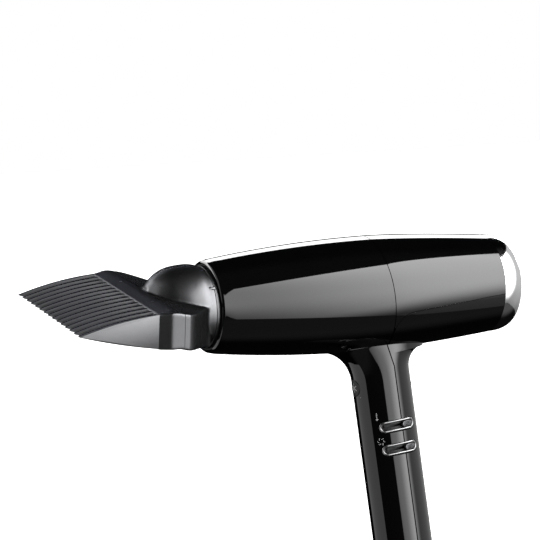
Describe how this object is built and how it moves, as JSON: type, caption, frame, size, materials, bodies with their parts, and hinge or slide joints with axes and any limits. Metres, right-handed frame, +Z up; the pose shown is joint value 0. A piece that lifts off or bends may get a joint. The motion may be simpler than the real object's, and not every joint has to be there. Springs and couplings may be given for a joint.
{
  "type": "hair dryer",
  "caption": "Pistol-grip hair dryer: round glossy barrel, chrome intake ring, slim handle with side sliders and buttons, and a wide comb nozzle that turns and pulls off.",
  "frame": {"origin": "middle of the grip, on the handle's own axis, 105 mm down that axis from the barrel's axis", "axes": "+X along the barrel from the outlet to the intake, +Z up, +Y across the barrel to the side without sliders; the handle leans 5.1 degrees"},
  "size_m": [0.3205, 0.1166, 0.2164],
  "materials": {
    "gloss_black": "piano-black gloss moulding",
    "satin_black": "fine satin texture",
    "matt_black": "matt moulding",
    "chrome_ring": "bright plating",
    "silver_trim": "satin silver plating",
    "steel": "plain steel",
    "rubber_black": "moulded rubber",
    "white_plastic": "glass-filled nylon",
    "mica_board": "pressed mica sheet",
    "heat_wire": "oxidised resistance wire",
    "copper_wire": "enamelled copper",
    "circuit_board": "solder-masked board",
    "magnet_grey": "sintered ferrite and carbon"
  },
  "bodies": {
    "body": {"front_casing": "gloss_black", "rear_casing": "gloss_black", "rear_top_cover": "gloss_black", "base_cap": "gloss_black", "cord_gland": "rubber_black", "outlet_ring": "matt_black", "outlet_grille": "matt_black", "mica_sleeve": "mica_board", "mica_board_upright": "mica_board", "mica_board_level": "mica_board", "heater_coil_front": "heat_wire", "heater_coil_rear": "heat_wire", "thermostat": "steel", "thermal_fuse": "white_plastic", "ion_needle": "steel", "motor_mount": "white_plastic", "damper_ring": "rubber_black", "motor_can": "steel", "motor_end_bell": "matt_black", "bearing_front": "steel", "bearing_rear": "steel", "magnet_upper": "magnet_grey", "magnet_lower": "magnet_grey", "brush_left": "magnet_grey", "brush_right": "magnet_grey", "fan_guard": "matt_black", "cool_shot_spring": "steel", "cool_shot_switch": "matt_black", "ion_switch": "matt_black", "heat_bezel": "silver_trim", "heat_track": "matt_black", "heat_switch": "matt_black", "speed_bezel": "silver_trim", "speed_track": "matt_black", "speed_switch": "matt_black", "control_board": "circuit_board", "ion_module": "matt_black", "terminal_block": "white_plastic", "cord_clamp": "white_plastic", "casing_screw_upper": "steel", "casing_screw_lower": "steel", "clamp_screw_left": "steel", "clamp_screw_right": "steel"},
    "rotor": {"motor_shaft": "steel", "armature": "copper_wire", "commutator": "copper_wire", "fan": "matt_black"},
    "cool_shot": {"cool_shot_button": "satin_black"},
    "ion": {"ion_button": "satin_black"},
    "heat_control": {"heat_slider": "satin_black"},
    "speed_control": {"speed_slider": "satin_black"},
    "intake_cap": {"rear_ring": "chrome_ring", "filter_frame": "matt_black", "filter_mesh": "steel"},
    "nozzle_lock": {"nozzle_snap_ring": "steel"},
    "nozzle": {"nozzle_duct": "satin_black", "comb_head": "satin_black"}
  },
  "joints": [
    {"name": "fan_spin", "type": "hinge", "parent": "body", "child": "rotor", "pos_m": [0, 0, 0.10458], "axis": [1, 0, 0], "continuous": true},
    {"name": "cool_shot_press", "type": "slide", "parent": "body", "child": "cool_shot", "axis": [0.996, 0, 0.0889], "range_m": [0, 0.0015], "stiffness_N_per_m": 600, "springref_m": -0.002, "deforming": ["cool_shot_spring"]},
    {"name": "ion_press", "type": "slide", "parent": "body", "child": "ion", "axis": [-0.996, 0, -0.0889], "range_m": [0, 0.0008], "stiffness_N_per_m": 800, "springref_m": -0.001},
    {"name": "heat_slide", "type": "hinge", "parent": "body", "child": "heat_control", "pos_m": [-0.00165, 0.00583, 0.01853], "axis": [-0.0889, 0, 0.996], "range_deg": [-35, 0]},
    {"name": "speed_slide", "type": "hinge", "parent": "body", "child": "speed_control", "pos_m": [-0.00031, 0.00583, 0.00349], "axis": [-0.0889, 0, 0.996], "range_deg": [-35, 0]},
    {"name": "filter_pull", "type": "slide", "parent": "body", "child": "intake_cap", "axis": [1, 0, 0], "range_m": [0, 0.014]},
    {"name": "nozzle_pull", "type": "slide", "parent": "body", "child": "nozzle_lock", "axis": [-1, 0, 0], "range_m": [0, 0.025]},
    {"name": "nozzle_turn", "type": "hinge", "parent": "nozzle_lock", "child": "nozzle", "pos_m": [-0.12183, 0, 0.10458], "axis": [1, 0, 0], "continuous": true}
  ]
}
